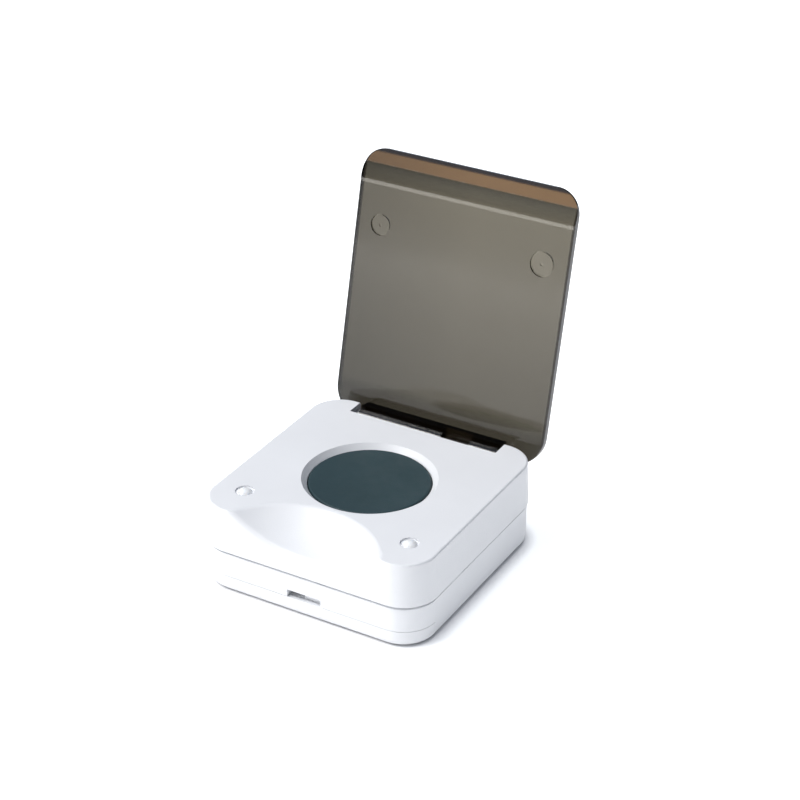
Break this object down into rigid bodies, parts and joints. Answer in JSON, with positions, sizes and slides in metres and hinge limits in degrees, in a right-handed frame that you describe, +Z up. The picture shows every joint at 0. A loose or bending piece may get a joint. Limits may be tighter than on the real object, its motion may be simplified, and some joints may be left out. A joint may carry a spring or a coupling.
{
  "type": "wireless push-button transmitter",
  "caption": "Wireless push-button transmitter: a rounded puck case with a large round button under a flip-up smoked safety lid.",
  "frame": {"origin": "centre of the case's flat underside, which is on Z = 0", "axes": "+Z up out of the button's face, -Y towards the finger scoop at the case's front, +X to the right seen from the front; the lid stands open over the rear edge"},
  "size_m": [0.07, 0.0915, 0.0967],
  "materials": {
    "case_white": "satin moulded plastic",
    "label_silver": "blank satin label",
    "lid_smoke": "smoked transparent polycarbonate",
    "steel": "bright drawn wire and turned steel",
    "spring_dark": "oil-blacked spring wire",
    "buffer_white": "glossy soft plastic",
    "button_slate": "satin dark slate plastic",
    "switch_black": "moulded black",
    "stem_red": "moulded red",
    "board_green": "solder-masked laminate",
    "tin": "tinned sheet",
    "copper": "bare copper wire",
    "chip_ceramic": "chip components",
    "tray_grey": "moulded grey",
    "cell_sleeve": "printed sleeve left plain",
    "nickel": "nickel-plated spring steel"
  },
  "bodies": {
    "case": {"upper_case": "case_white", "lower_case": "case_white", "slot_seal": "switch_black", "hinge_trough": "switch_black", "hinge_pin": "steel", "hinge_washers": "steel", "lid_spring": "spring_dark", "lid_buffers": "buffer_white", "button_spring": "steel", "switch_body": "switch_black", "main_board": "board_green", "radio_module": "board_green", "radio_shield": "tin", "helical_antenna": "copper", "microcontroller": "switch_black", "crystal": "tin", "chip_parts": "chip_ceramic", "battery_tray": "tray_grey", "battery_cells": "cell_sleeve", "battery_springs": "nickel", "battery_contacts": "nickel", "case_screws": "steel", "board_screws": "steel"},
    "lid": {"flip_lid": "lid_smoke"},
    "button": {"button_cap": "button_slate"},
    "switch_plunger": {"switch_stem": "stem_red"},
    "rear_plate": {"back_plate": "case_white", "rating_label": "label_silver"}
  },
  "joints": [
    {"name": "lid_hinge", "type": "hinge", "parent": "case", "child": "lid", "pos_m": [0, 0.0328, 0.0218], "axis": [1, 0, 0], "range_deg": [0, 102.7], "stiffness_Nm_per_rad": 0.002, "springref_deg": -34.38},
    {"name": "button_press", "type": "slide", "parent": "case", "child": "button", "axis": [0, 0, -1], "range_m": [0, 0.0012], "stiffness_N_per_m": 1500, "springref_m": -0.0004, "deforming": ["button_spring"]},
    {"name": "switch_press", "type": "slide", "parent": "case", "child": "switch_plunger", "axis": [0, 0, -1], "range_m": [0, 0.0012]},
    {"name": "back_plate_tilt", "type": "hinge", "parent": "case", "child": "rear_plate", "pos_m": [0, 0.0312, 0.0009], "axis": [1, 0, 0], "range_deg": [0, 12]}
  ],
  "couplings": [
    {"joint": "switch_press", "follows": "button_press", "ratio": 1}
  ]
}
